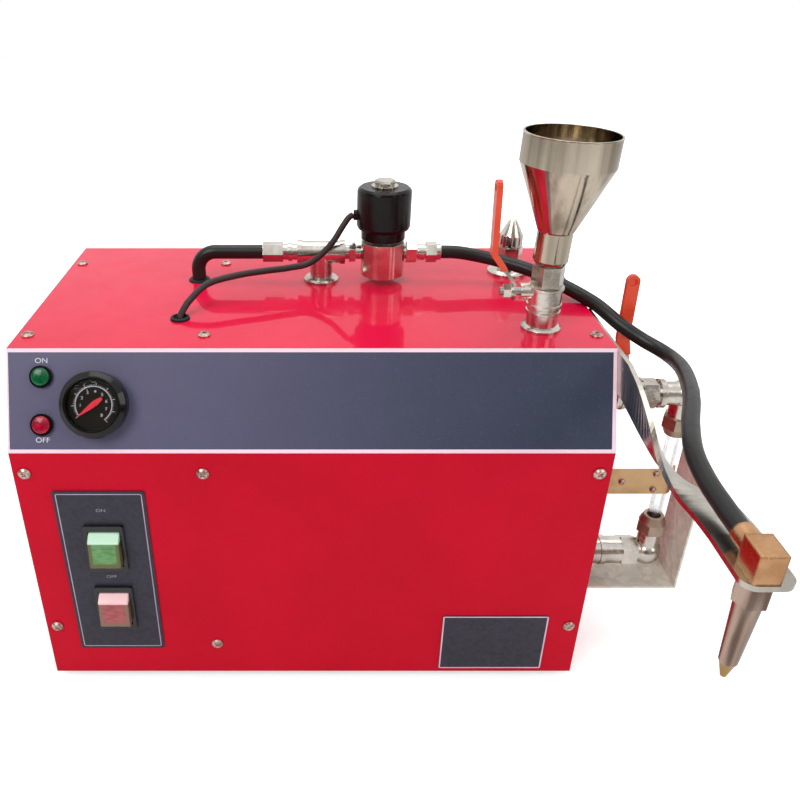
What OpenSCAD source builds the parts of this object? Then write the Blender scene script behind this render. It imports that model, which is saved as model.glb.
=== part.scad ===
// Counter-top steam cleaner for jewelry: a sheet-metal housing round a small boiler, with a filling
// funnel, a solenoid steam valve, a hose to a nozzle on a twisted arm, and a water gauge at the side.
// X runs across the front, +Y away from the user, +Z up. The origin is on the table, under the middle.

/* [Housing] */
// Width of the housing across the front
body_w = 400; // [370:5:440]
// Depth of the housing at its foot
body_d = 234; // [230:1:270]
// Height of the housing above its feet
body_h = 264; // [250:1:290]
// Height of the sloped band
band_h = 62; // [57:0.5:68]
// How far the sloped band leans back at its top
band_run = 30.5; // [26:0.5:34]
// Thickness of the housing sheet
sheet_t = 1.5; // [1:0.1:2]
// Width of the inward flanges that take the panel screws
flange_w = 16; // [13:1:22]
// Height of the rubber feet
foot_h = 8; // [5:1:14]
// Radius of the rubber feet
foot_r = 12; // [8:1:16]
// Distance of the feet from the housing's sides
foot_inset = 34; // [20:1:50]
// Radius of the heads of the panel screws
head_r = 4.3; // [3.6:0.1:5.5]

/* [Boiler] */
// Radius of the boiler
tank_r = 96; // [92:1:99]
// Length of the boiler
tank_len = 226; // [200:1:236]
// Wall of the boiler
tank_wall = 3; // [2:0.5:5]
// Distance of the boiler's right end from the right wall
tank_gap = 12; // [8:1:20]
// Height of the boiler's axis above the tray
tank_lift = 138; // [136:1:146]

/* [Controls] */
// Radius of the pressure gauge
gauge_r = 22; // [18:0.5:26]
// How far the gauge stands out of the band
gauge_h = 13; // [8:0.5:18]
// Radius of the indicator lenses
lens_r = 5.8; // [4:0.1:7]
// Width of the switch caps
cap_w = 21.5; // [18:0.5:23]
// Height of the switch caps
cap_h = 27; // [24:0.5:29]
// How far the switch caps stand out of the panel
cap_out = 9; // [6:0.5:12]
// Tilt of a switch cap at either of its two positions
cap_tilt = 6; // [3:0.5:7]

/* [Steam line] */
// Height of the steam line above the top panel
line_rise = 23; // [21:0.5:28]
// Distance of the steam line behind the top panel's front edge
line_back = 125.5; // [115:0.5:135]
// Radius of the tee's barrel
tee_r = 8.5; // [7.5:0.25:8.5]
// Bore of the steam fittings
bore_r = 3; // [2:0.25:3.5]
// Radius of the sleeved steam pipe
pipe_r = 5.4; // [4.8:0.1:6]
// Bend radius of the sleeved steam pipe
pipe_bend = 14; // [12:0.5:15]
// Radius of the solenoid coil
coil_r = 20.5; // [17:0.5:24]
// Height of the solenoid coil
coil_h = 39; // [35:1:46]
// Lift of the solenoid plunger
plunger_lift = 2.5; // [1:0.1:3]

/* [Filling] */
// Distance of the funnel's axis from the right wall
fill_side = 43; // [41:1:48]
// Distance of the funnel's axis behind the top panel's front edge
fill_back = 32.5; // [30:0.5:40]
// Radius of the funnel's mouth
mouth_r = 30; // [26:0.5:34]
// Height of the funnel
funnel_h = 82.5; // [74:0.5:90]
// Radius of the funnel's neck
neck_r = 11.5; // [10.5:0.25:13]
// Sheet of the funnel
funnel_t = 1; // [0.8:0.1:1.5]
// Lean of the funnel to the right
funnel_lean = 2.2; // [0:0.2:3]

/* [Ball valves] */
// Radius of the balls
ball_r = 7.6; // [7:0.1:8]
// Bore through the balls
ball_bore = 4.6; // [3.5:0.1:5]
// Distance from the stem's axis to the tip of the lever
lever_len = 74.5; // [60:0.5:80]
// Width of the steel levers
lever_w = 7.5; // [7:0.5:10]
// Thickness of the steel levers
lever_t = 2; // [1.5:0.1:2.5]
// Thickness of the plastic sleeve on a lever's face
grip_t = 0.9; // [0.8:0.1:1.6]

/* [Water gauge] */
// Distance of the gauge glass from the right wall
glass_out = 64.5; // [64:0.5:68]
// Distance of the water gauge behind the housing's front
gauge_back = 57; // [55:1:70]
// Height of the lower fitting above the tray
low_rise = 74; // [70:1:78]
// Distance of the upper fitting below the top panel
gauge_drop = 48; // [46:1:60]
// Radius of the gauge glass
glass_r = 5; // [4:0.25:6]

/* [Nozzle arm] */
// Reach of the arm ahead of the housing's front
arm_reach = 181; // [170:1:200]
// Width of the arm
arm_w = 25; // [22:0.5:27]
// Thickness of the arm
arm_t = 3; // [2:0.25:4]
// Distance of the arm's middle below the top panel
arm_drop = 14; // [13.5:0.5:18]
// Length of the quarter twist
twist_len = 154; // [130:1:156]
// How far the arm dips along its twist
arm_dip = 12.7; // [6:0.1:14]
// Length of the nozzle below the arm
nozzle_len = 60; // [54:1:66]
// Width of the nozzle's hexagon across its flats
nozzle_hex = 14.6; // [13:0.2:17]
// Width of the brass block on the arm
block_w = 12.5; // [12:0.25:14]

/* [Hidden] */
fine = 48;
eps = 0.01;       // lets a cutter pass a face
fit = 0.05;       // radial clearance of a shaft in its hole
gap = 0.3;        // clearance between faces that must not rub

// planes of the housing
xr = body_w / 2;
yf = -body_d / 2;
yr = body_d / 2;
zb = foot_h;
zt = zb + body_h;
zk = zt - band_h;
lower_h = body_h - band_h;
yt = yf + band_run;
band_len = sqrt(band_run * band_run + (zt - zk) * (zt - zk));
band_lean = asin((zt - zk) / band_len);

// screws that hold the panels: columns in x, rows in y or z
screw_inset = 8;
screw_left = -xr + screw_inset;
screw_mid = -xr + 127;
screw_right = xr - screw_inset;
top_front_y = yt + 20;
top_rear_y = yr - 41;
front_top_z = zk - 16;
front_low_z = zb + 48;
front_foot_z = zb + 8;
shank_r = 1.9;
shank_len = 6;
head_t = 2.2;

// boiler
tank_x1 = xr - tank_gap;
tank_x0 = tank_x1 - tank_len;
tank_z = zb + tank_lift;
riser_r = 6;

// pressure gauge, lamps and switches
gauge_x = -xr + 59;
gauge_s = band_len * 0.528;
lamp_x = -xr + 23;
green_s = band_len * 0.268;
red_s = band_len * 0.724;
lamp_rim = 1.6;
dial_r = gauge_r - 5;
needle_rest = 217;
needle_travel = 260;
plate_x = -xr + 55;
plate_w = 63;
plate_h = 146;
plate_z = zb + 99;
plate_t = 1;
steam_z = zb + 124;
heat_z = zb + 68.5;
bezel_w = 27.5;
bezel_h = 40;
bezel_t = 2.5;
rocker_pin = 1.5;
pivot_in = 3;
data_x = xr - 63.5;
data_w = 79;
data_h = 54;
data_z = zb + 31;
mains_x = -xr + 50;

// steam line
line_y = yt + line_back;
line_z = zt + line_rise;
tee_x = xr - 194;
tee_half = 18.5;
pipe_x = tee_x - 96;
nut_x0 = tee_x - 45;
nut_x1 = nut_x0 + 15.5;
valve_x = tee_x + 47.5;
valve_half = 16.5;
valve_z0 = line_z - 17;
valve_z1 = line_z + 9;
seat_z = line_z - 4;
tube_r = 6.6;
tube_in = 5;
plunger_r = tube_in - fit;
plunger_len = 24;
tube_top = valve_z1 + coil_h + 5.5;
fitting_len = 28.5;
hose_r = 5;
lead_r = 2.4;
switch_z1 = zt - 30;

// filling valve and funnel
fill_x = xr - fill_side;
fill_y = yt + fill_back;
fill_z = zt + 27;
hex_top = fill_z + 19;
neck_h = 22;
spigot_r = 6;
spigot_h = 7;

// parts that both ball valves share
stem_r = 2.8;
boss_len = 17.5;
lever_x = 22;
stem_len = 31;

// safety valve
safety_x = xr - 43.5;
safety_y = yt + 143.5;
safety_lift = 1.5;

// water gauge
wg_y = yf + gauge_back;
wg_x = xr + glass_out;
low_z = zb + low_rise;
high_z = zt - gauge_drop;
glass_span = high_z - low_z;
side_x = xr + 28;
strap_z = low_z + 70;
strap_h = 22;
guard_z = low_z - 21;
guard_x = wg_x + 19.5;
guard_w = 40;
guard_top = guard_z + 117;

// nozzle arm; each stop of its twist is a share of its length, a share of its dip, and a turn
arm_x = xr + arm_t / 2;
arm_z = zt - arm_drop;
twist_y0 = yf + 9;
twist_y1 = twist_y0 - twist_len;
twist_stops = [[0, 0, 0], [0.13, 0.28, 3], [0.26, 0.63, 10], [0.39, 0.97, 22], [0.52, 1, 44], [0.65, 0.76, 67],
    [0.79, 0.35, 89], [0.9, 0.14, 90], [1, 0.04, 90]];
arm_y1 = yf - arm_reach;
arm_end_z = arm_z - arm_dip * 0.04;
nozzle_x = arm_x - 3;
nozzle_y = arm_y1 + 8.5;
block_d = 16;
block_h = 16;
ferrule_r = hose_r + 1;
ferrule_len = 11;
port_z = arm_end_z + arm_t / 2 + block_h / 2;
hose_end_y = nozzle_y + block_d / 2 + ferrule_len;

// routes of the steam hose and of the coil's lead, from the housing's right wall, front and top
function from_corner(points) = [for (p = points) [xr + p[0], yf + p[1], zt + p[2]]];
hose_points = concat([[valve_x + valve_half + fitting_len, line_y, line_z]],
    from_corner([[-88, 156, 22.5], [-72, 153.5, 20.5], [-54, 147, 18], [-34, 135, 15], [-14, 119, 9.5],
        [5.5, 100.5, 2.5], [20, 83, -6.5], [33, 72, -13], [42.5, 61, -16], [46, 47, -16], [43.5, 27, -13],
        [36.5, 1, -9.5], [26, -28, -6], [12.5, -59, -4], [2.5, -88, -3.7], [-1, -113, -4.5], [-1.5, -135, -5]]),
    [[nozzle_x, hose_end_y, port_z]]);
lead_points = concat([[valve_x - coil_r * 0.9 - 4.7, line_y, line_z + 29]],
    from_corner([[-173, 155, 50.2], [-177.5, 152.5, 44.5], [-187, 145, 32], [-202, 137, 21], [-218, 131, 19], [-236, 124, 19],
        [-256, 116, 18.5], [-276, 104, 16.5], [-287.5, 90, 9.6], [-292.5, 81, 3.5], [-293.5, 78.5, 0]]));

// ---- profiles and small shapes ----

// Corners of the housing's side outline, in y and z, moved inwards by t on the front, band, top and rear.
function outline(t) = [
    [yf + t, zb],
    [yf + t, zk - t * (band_len - (zt - zk)) / band_run],
    [yt + t * (band_len - band_run) / (zt - zk), zt - t],
    [yr - t, zt - t],
    [yr - t, zb]];

// Polygon of a strip of thickness t along the points p.
function turned(v) = [-v[1], v[0]] / norm(v);
function side_of(p, i, h) =
    let (a = i == 0 ? p[1] - p[0] : p[i] - p[i - 1],
         b = i == len(p) - 1 ? a : p[i + 1] - p[i],
         n = turned(a), m = turned(b), s = n + m)
    p[i] + s * h * 2 / (s * s);
function strip(p, t) = concat(
    [for (i = [0:len(p) - 1]) side_of(p, i, t / 2)],
    [for (i = [len(p) - 1:-1:0]) side_of(p, i, -t / 2)]);

// Point at u along the smooth curve through the points p.
function knot(p, i) = p[max(0, min(len(p) - 1, i))];
function curve_at(p, u) =
    let (i = min(len(p) - 2, floor(u)), f = u - i,
         a = i == 0 ? 2 * p[0] - p[1] : p[i - 1], b = p[i], c = p[i + 1],
         d = i + 2 > len(p) - 1 ? 2 * c - b : p[i + 2])
    0.5 * (2 * b + (c - a) * f + (2 * a - 5 * b + 4 * c - d) * f * f + (3 * b - a - 3 * c + d) * f * f * f);

// Tube of radius r swept along the points p, with n sides and k rings for each stretch.
module swept(p, r, n, k) {
    last = (len(p) - 1) * k;
    at = [for (j = [0:last]) curve_at(p, j / k)];
    along = [for (j = [0:last]) let (v = at[min(last, j + 1)] - at[max(0, j - 1)]) v / norm(v)];
    rings = [for (j = [0:last])
        let (side = cross(along[j], [0, 0, 1]), s = side / norm(side), up = cross(s, along[j]))
        for (q = [0:n - 1]) at[j] + r * (cos(360 * q / n) * s + sin(360 * q / n) * up)];
    faces = concat(
        [for (j = [0:last - 1], q = [0:n - 1])
            [j * n + q, (j + 1) * n + q, (j + 1) * n + (q + 1) % n, j * n + (q + 1) % n]],
        [[for (q = [0:n - 1]) q]],
        [[for (q = [n - 1:-1:0]) last * n + q]]);
    polyhedron(rings, faces, convexity = 8);
}

// Extrudes a y-z outline along X, from x0 for a length.
module along_x(x0, length) {
    translate([x0, 0, 0]) rotate([90, 0, 90]) linear_extrude(length) children();
}

// Cylinder along X, from x0 to x1, at y and z.
module rod_x(x0, x1, r, y, z, sides = fine) {
    translate([x0, y, z]) rotate([0, 90, 0]) cylinder(h = x1 - x0, r = r, $fn = sides);
}

// Puts its children on the sloped band, s below the band's top edge; local +Z points out of the band.
module on_band(x, s) {
    translate([x, yt - s * band_run / band_len, zt - s * (zt - zk) / band_len])
        rotate([band_lean, 0, 0]) children();
}

// Puts its children on the lower front; local +Z points at the user, local +Y up.
module on_front(x, z) {
    translate([x, yf, z]) rotate([90, 0, 0]) children();
}

// Hexagonal prism by its width across the flats.
module hexagon(h, flats) {
    cylinder(h = h, r = flats / sqrt(3), $fn = 6);
}

// Flat plate with rounded corners, centred, standing on z = 0.
module rounded_plate(w, h, t, r) {
    linear_extrude(t) rounded_outline(w, h, r);
}

module rounded_outline(w, h, r) {
    union() {
        square([w - 2 * r, h], center = true);
        square([w, h - 2 * r], center = true);
        for (sx = [-1, 1], sy = [-1, 1])
            translate([sx * (w / 2 - r), sy * (h / 2 - r)]) circle(r = r, $fn = 32);
    }
}

// Pan-head screw with a cross recess; its head stands on z = 0.
module screw(r = head_r, shank = shank_len) {
    difference() {
        union() {
            cylinder(h = head_t * 0.45, r = r, $fn = 32);
            translate([0, 0, head_t * 0.45]) cylinder(h = head_t * 0.55, r1 = r, r2 = r * 0.68, $fn = 32);
            translate([0, 0, -shank]) cylinder(h = shank + eps, r = shank_r, $fn = 24);
        }
        for (a = [45, 135]) translate([0, 0, head_t]) rotate([0, 0, a]) cube([r, 0.9, 2], center = true);
    }
}

// Places of the panel screws, each a frame whose +Z points out of its panel.
module top_screw_places() {
    for (x = [screw_left, screw_mid, screw_right], y = [top_front_y, top_rear_y])
        translate([x, y, zt]) children();
}

module front_screw_places() {
    for (x = [screw_left, screw_mid, screw_right]) on_front(x, front_top_z) children();
    for (x = [screw_left, screw_right]) on_front(x, front_low_z) children();
    on_front(screw_mid, front_foot_z + 22) children();
}

// Holes in the top for the three risers of the boiler.
module riser_holes() {
    for (p = [[tee_x, line_y], [fill_x, fill_y], [safety_x, safety_y]])
        translate([p[0], p[1], zt - 5]) cylinder(h = 10, r = riser_r + 1, $fn = fine);
}

module screw_hole() {
    translate([0, 0, -20]) cylinder(h = 30, r = shank_r + fit, $fn = 24);
}

// ---- housing ----

module base_tray() {
    color("dimgray") {
        wall_h = 18;
        inner_w = body_w - 2 * sheet_t - 2 * gap;
        inner_d = body_d - 4 * sheet_t - 2 * gap;
        difference() {
            translate([-inner_w / 2, -inner_d / 2, zb]) cube([inner_w, inner_d, wall_h]);
            translate([-inner_w / 2 + sheet_t, -inner_d / 2 + sheet_t, zb + sheet_t])
                cube([inner_w - 2 * sheet_t, inner_d - 2 * sheet_t, wall_h]);
        }
        // two saddles carry the boiler
        for (x = [tank_x0 + 40, tank_x1 - 40]) difference() {
            translate([x - 2, -62, zb + sheet_t - eps]) cube([4, 124, tank_lift - 50]);
            rod_x(x - 10, x + 10, tank_r + gap, 0, tank_z, 96);
        }
    }
}

module rubber_feet() {
    color("black")
        for (sx = [-1, 1], sy = [-1, 1]) translate([sx * (xr - foot_inset), sy * (yr - foot_inset), 0])
            cylinder(h = foot_h, r1 = foot_r * 0.85, r2 = foot_r, $fn = fine);
}

module side_shell() {
    color("crimson") difference() {
        along_x(-xr, body_w) polygon(concat([for (i = [0:2]) outline(sheet_t)[i]],
            [[yr, zt - sheet_t], [yr, zb]]));
        // hollow, open below
        translate([0, 0, -eps]) along_x(-xr + sheet_t, body_w - 2 * sheet_t) polygon(concat(
            [for (i = [0:2]) outline(2 * sheet_t)[i]], [[yr - sheet_t, zt - 2 * sheet_t], [yr - sheet_t, zb]]));
        // windows behind the three panels leave the flanges
        window_w = body_w - 2 * flange_w;
        translate([-window_w / 2, yt + flange_w + 14, zt - 3 * sheet_t])
            cube([window_w, yr - yt - 2 * flange_w - 38, 4 * sheet_t]);
        riser_holes();
        translate([-window_w / 2, yf, zb - eps]) cube([window_w, 3 * sheet_t, lower_h - flange_w - 14]);
        on_band(0, band_len / 2) translate([-window_w / 2, -band_len / 2 + 6, -4 * sheet_t])
            cube([window_w, band_len - 12, 6 * sheet_t]);
        top_screw_places() screw_hole();
        front_screw_places() screw_hole();
        // holes for the water gauge, the arm's bolts, the brackets' screws and the mains gland
        for (z = [low_z, high_z]) rod_x(xr - 5, xr + 5, 8 + gap, wg_y, z);
        bracket_screw_places() screw_hole();
        translate([mains_x, yr - 5, zb + 34]) rotate([-90, 0, 0]) cylinder(h = 10, r = 8 + gap, $fn = fine);
        // vent slots low in the rear wall
        for (i = [-4:4]) translate([i * 14 + 60, yr - sheet_t / 2, zb + 60])
            cube([5, 4 * sheet_t, 44], center = true);
    }
}

module top_panel() {
    a = outline(0);
    b = outline(sheet_t);
    color("crimson") difference() {
        along_x(-xr, body_w) polygon([a[2], a[3], [yr, zt - sheet_t], b[2]]);
        top_screw_places() screw_hole();
        riser_holes();
        translate([pipe_x, line_y, zt - 5]) cylinder(h = 10, r = pipe_r + 2, $fn = fine);
        lead_at = lead_points[len(lead_points) - 1];
        translate([lead_at[0], lead_at[1], zt - 5]) cylinder(h = 10, r = 5, $fn = fine);
    }
}

module band_panel() {
    a = outline(0);
    b = outline(sheet_t);
    color("slategray") difference() {
        along_x(-xr, body_w) polygon([a[1], a[2], b[2], b[1]]);
        on_band(gauge_x, gauge_s) translate([0, 0, -5]) cylinder(h = 10, r = 9, $fn = fine);
        for (s = [green_s, red_s]) on_band(lamp_x, s) translate([0, 0, -5]) cylinder(h = 10, r = lens_r, $fn = fine);
    }
}

module front_panel() {
    a = outline(0);
    b = outline(sheet_t);
    color("crimson") difference() {
        along_x(-xr, body_w) polygon([a[0], a[1], b[1], b[0]]);
        front_screw_places() screw_hole();
        for (z = [steam_z, heat_z]) on_front(plate_x, z)
            translate([0, 0, -2]) cube([bezel_w - 1.5, bezel_h - 5.5, 20], center = true);
    }
}

module panel_screws() {
    color("silver") {
        top_screw_places() screw();
        front_screw_places() screw();
    }
}

// ---- inside the housing ----

module boiler_tank() {
    color("lightsteelblue") difference() {
        union() {
            rod_x(tank_x0, tank_x1, tank_r, 0, tank_z, 96);
            // risers to the fittings on the top panel
            for (p = [[tee_x, line_y], [fill_x, fill_y], [safety_x, safety_y]])
                translate([p[0], p[1], tank_z]) cylinder(h = zt - tank_z, r = riser_r, $fn = fine);
        }
        rod_x(tank_x0 + tank_wall, tank_x1 - tank_wall, tank_r - tank_wall, 0, tank_z, 96);
        for (p = [[tee_x, line_y], [fill_x, fill_y], [safety_x, safety_y]])
            translate([p[0], p[1], tank_z]) cylinder(h = zt, r = riser_r - 2, $fn = fine);
        for (z = [low_z, high_z]) rod_x(tank_x1 - 10, tank_x1 + 1, 6, wg_y, z);
        rod_x(tank_x0 - 1, tank_x0 + 10, 26, 0, tank_z - 45);
    }
}

module heater_element() {
    y = 14;
    z = tank_z - 45;
    x1 = tank_x1 - 50;
    color("sienna") {
        rod_x(tank_x0 - 7, tank_x0, 32, 0, z);
        for (s = [-1, 1]) {
            rod_x(tank_x0 - eps, x1, 4, s * y, z);
            rod_x(tank_x0 - 22, tank_x0 - 7 + eps, 3, s * y, z);
        }
        translate([x1 - eps, 0, z]) rotate([0, 0, -90]) rotate_extrude(angle = 180, $fn = 64)
            translate([y, 0]) circle(r = 4, $fn = 24);
    }
}

module pressure_switch() {
    color("gray") translate([pipe_x, line_y, switch_z1]) difference() {
        union() {
            translate([0, 0, -14]) cylinder(h = 14, r = 7, $fn = fine);
            translate([0, 0, -26]) cylinder(h = 12 + eps, r = 21, $fn = fine);
            translate([0, 0, -62]) cylinder(h = 36 + eps, r = 16, $fn = fine);
        }
        translate([0, 0, -20]) cylinder(h = 30, r = bore_r, $fn = fine);
    }
}

module terminal_block() {
    color("ivory") translate([-xr + 60, 50, zb + sheet_t]) difference() {
        translate([-34, -14, 0]) cube([68, 28, 20]);
        for (i = [-2:2], s = [-1, 1]) translate([i * 13, s * 8, 12]) cylinder(h = 10, r = 3.2, $fn = 24);
        for (i = [-2:1]) translate([i * 13 + 6, -15, 14]) cube([1, 30, 10]);
    }
}

// ---- instruments and switches ----

module gauge_case() {
    color("#1c1a19") on_band(gauge_x, gauge_s) difference() {
        union() {
            rotate_extrude($fn = 96) polygon([[0, 0], [gauge_r - 1, 0], [gauge_r - 0.6, 1],
                [gauge_r - 0.6, gauge_h - 6], [gauge_r, gauge_h - 5.4], [gauge_r, gauge_h - 3.4],
                [gauge_r - 0.6, gauge_h - 2.4], [dial_r + 1.6, gauge_h - 0.3], [dial_r + 1, gauge_h], [0, gauge_h]]);
            translate([0, 0, -12]) cylinder(h = 12 + eps, r = 8, $fn = fine);
        }
        translate([0, 0, gauge_h - 6]) cylinder(h = 10, r = dial_r, $fn = 96);
        translate([0, 0, -20]) cylinder(h = 50, r = 2.2, $fn = fine);
    }
}

module gauge_dial() {
    color("#141414") on_band(gauge_x, gauge_s) difference() {
        translate([0, 0, gauge_h - 6]) cylinder(h = 1, r = dial_r - 0.1, $fn = 96);
        translate([0, 0, gauge_h - 8]) cylinder(h = 5, r = 0.8, $fn = 24);
    }
}

module gauge_lens() {
    r = dial_r - 0.1;
    color("white", 0.4) on_band(gauge_x, gauge_s) translate([0, 0, gauge_h - 1.9])
        rotate_extrude($fn = 96) polygon(concat([[0, 0], [r, 0], [r, 1]],
            [for (i = [1:9]) [r * cos(i * 10), 1 + 1.6 * sin(i * 10)]]));
}

module gauge_needle() {
    tip = dial_r * 0.74;
    tail = dial_r * 0.42;
    color("red") on_band(gauge_x, gauge_s) rotate([0, 0, needle_rest]) {
        translate([0, 0, gauge_h - 4.2]) linear_extrude(0.6)
            polygon([[-tail, -0.9], [-tail, 0.9], [-2, 1.9], [2, 1.7], [tip, 0.25], [tip, -0.25], [2, -1.7], [-2, -1.9]]);
        translate([0, 0, gauge_h - 4.2]) cylinder(h = 1.4, r = 1.7, $fn = 32);
        translate([0, 0, gauge_h - 6]) cylinder(h = 2, r = 0.8 - fit, $fn = 24);
    }
}

module lamp_bezels() {
    color("#22252a") for (s = [green_s, red_s]) on_band(lamp_x, s) difference() {
        union() {
            cylinder(h = 2.4, r = lens_r + lamp_rim, $fn = fine);
            translate([0, 0, -18]) cylinder(h = 18 + eps, r = lens_r - fit, $fn = fine);
        }
        translate([0, 0, 1]) cylinder(h = 3, r = lens_r + fit, $fn = fine);
    }
}

module lens_at(s) {
    on_band(lamp_x, s) translate([0, 0, 1]) rotate_extrude($fn = fine)
        polygon(concat([[0, 0], [lens_r, 0], [lens_r, 2.6]],
            [for (i = [1:9]) [lens_r * cos(i * 10), 2.6 + 1.4 * sin(i * 10)]]));
}

module green_lens() { color("green") lens_at(green_s); }
module red_lens() { color("red") lens_at(red_s); }

module switch_plate() {
    color("darkslategray") on_front(plate_x, plate_z) difference() {
        rounded_plate(plate_w, plate_h, plate_t, 2);
        for (z = [steam_z, heat_z]) translate([0, z - plate_z, 0])
            cube([bezel_w - 1.5, bezel_h - 5.5, 20], center = true);
    }
}

module switch_frames() {
    slot_w = cap_w + 2 * gap;
    slot_h = cap_h + 4;
    color("#191919") for (z = [steam_z, heat_z]) on_front(plate_x, z) difference() {
        union() {
            translate([0, 0, plate_t]) rounded_plate(bezel_w, bezel_h, bezel_t, 1.5);
            translate([0, 0, -9.5]) cube([bezel_w - 1.6, bezel_h - 5.6, 21], center = true);
        }
        translate([0, 0, 2]) cube([slot_w, slot_h, 32], center = true);
        translate([-bezel_w, 0, -pivot_in]) rotate([0, 90, 0]) cylinder(h = 2 * bezel_w, r = rocker_pin + fit, $fn = 24);
    }
}

// Switch cap: bevelled along the top edge, on two pivot pins.
module rocker_cap(z) {
    h = cap_h / 2;
    on_front(plate_x, z) translate([0, 0, -pivot_in]) rotate([-cap_tilt, 0, 0]) {
        translate([-cap_w / 2, 0, 0]) rotate([90, 0, 90]) linear_extrude(cap_w) polygon([[-h, 1.5], [-h + 1.5, 0],
            [-3, -4.5], [3, -4.5], [h - 1.5, 0], [h, 1.5], [h, cap_out + pivot_in - 5.5],
            [h - 5, cap_out + pivot_in], [-h + 1, cap_out + pivot_in], [-h, cap_out + pivot_in - 1]]);
        translate([-bezel_w / 2 + 1.4, 0, 0]) rotate([0, 90, 0]) cylinder(h = bezel_w - 2.8, r = rocker_pin, $fn = 24);
    }
}

module steam_rocker() { color("seagreen") rocker_cap(steam_z); }
module heat_rocker() { color("indianred") rocker_cap(heat_z); }

module data_plate() {
    color("#32343c") on_front(data_x, data_z) rounded_plate(data_w, data_h, 0.8, 1.5);
}

// ---- steam line on the top panel ----

module steam_pipe() {
    h = line_z - pipe_bend;
    color("#2a2624") difference() {
        union() {
            translate([pipe_x, line_y, switch_z1]) cylinder(h = h - switch_z1, r = pipe_r, $fn = fine);
            translate([pipe_x + pipe_bend, line_y, h]) rotate([90, 0, 0]) rotate([0, 0, 90])
                rotate_extrude(angle = 90, $fn = 96) translate([pipe_bend, 0]) circle(r = pipe_r, $fn = fine);
            rod_x(pipe_x + pipe_bend, nut_x0, pipe_r, line_y, line_z);
        }
        translate([pipe_x, line_y, switch_z1 - 1]) cylinder(h = h - switch_z1 + 1, r = bore_r, $fn = fine);
        translate([pipe_x + pipe_bend, line_y, h]) rotate([90, 0, 0]) rotate([0, 0, 90])
            rotate_extrude(angle = 90, $fn = 96) translate([pipe_bend, 0]) circle(r = bore_r, $fn = fine);
        rod_x(pipe_x + pipe_bend, nut_x0 + 1, bore_r, line_y, line_z);
    }
}

// The nut and collar on the sleeved pipe, and the nipple between the tee and the valve.
module steam_unions() {
    color("silver") difference() {
        union() {
            translate([nut_x0, line_y, line_z]) rotate([0, 90, 0]) rotate([0, 0, 30]) hexagon(nut_x1 - nut_x0, 13.6);
            rod_x(nut_x1 - eps, tee_x - tee_half, 6.2, line_y, line_z);
            rod_x(nut_x1 + 4, nut_x1 + 7, 7.2, line_y, line_z);
        }
        rod_x(nut_x0 - 1, tee_x, bore_r, line_y, line_z);
    }
    color("silver") difference() {
        union() {
            rod_x(tee_x + tee_half, valve_x - valve_half, 5.6, line_y, line_z);
            translate([tee_x + tee_half + 3, line_y, line_z]) rotate([0, 90, 0]) hexagon(5, 14);
        }
        rod_x(tee_x, valve_x, bore_r, line_y, line_z);
    }
}

module tee() {
    color("silver") difference() {
        union() {
            rod_x(tee_x - tee_half, tee_x + tee_half, tee_r, line_y, line_z);
            for (x = [tee_x - tee_half, tee_x + tee_half - 4]) rod_x(x, x + 4, tee_r + 0.8, line_y, line_z);
            translate([tee_x, line_y, zt + 4]) cylinder(h = line_rise - 4, r = tee_r, $fn = fine);
        }
        rod_x(tee_x - 30, tee_x + 30, bore_r + 1, line_y, line_z);
        translate([tee_x, line_y, zt]) cylinder(h = line_rise, r = bore_r + 1, $fn = fine);
    }
}

module solenoid_body() {
    h = valve_z1 - valve_z0;
    color("gainsboro") difference() {
        union() {
            translate([valve_x, line_y, valve_z0]) intersection() {
                rotate([0, 0, 22.5]) cylinder(h = h, r = valve_half / cos(22.5), $fn = 8);
                cylinder(h = h, r = valve_half + 0.6, $fn = fine);
            }
            translate([valve_x, line_y, valve_z0 - 2]) cylinder(h = 2 + eps, r = valve_half * 0.8, $fn = fine);
        }
        // inlet ends under the seat, outlet leaves the chamber
        rod_x(valve_x - valve_half - 1, valve_x, bore_r, line_y, line_z);
        rod_x(valve_x, valve_x + valve_half + 1, bore_r, line_y, line_z);
        translate([valve_x, line_y, seat_z]) cylinder(h = h, r = tube_in + gap, $fn = fine);
    }
}

module plunger_tube() {
    color("silver") translate([valve_x, line_y, 0]) difference() {
        union() {
            translate([0, 0, valve_z1]) cylinder(h = 2.5, r = 11, $fn = fine);
            translate([0, 0, valve_z1]) cylinder(h = tube_top - valve_z1, r = tube_r, $fn = fine);
        }
        translate([0, 0, valve_z1 - 1]) cylinder(h = tube_top - valve_z1 - 2, r = tube_in, $fn = fine);
    }
}

module plunger() {
    color("gray") translate([valve_x, line_y, seat_z]) {
        translate([0, 0, 1]) cylinder(h = plunger_len - 1, r = plunger_r, $fn = fine);
        cylinder(h = 1 + eps, r = plunger_r - 1, $fn = fine);
    }
}

// Coil spring of mean radius r, wire radius w, from z = 0 to h.
module coil_spring(r, w, h, turns) {
    n = 12;
    steps = turns * n;
    swept([for (i = [0:steps]) [r * cos(360 * i / n), r * sin(360 * i / n), w + (h - 2 * w) * i / steps]], w, 6, 1);
}

module plunger_spring() {
    z0 = seat_z + plunger_len + fit;
    color("silver") translate([valve_x, line_y, z0]) coil_spring(3.4, 0.5, tube_top - 3 - fit - z0, 5);
}

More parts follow.
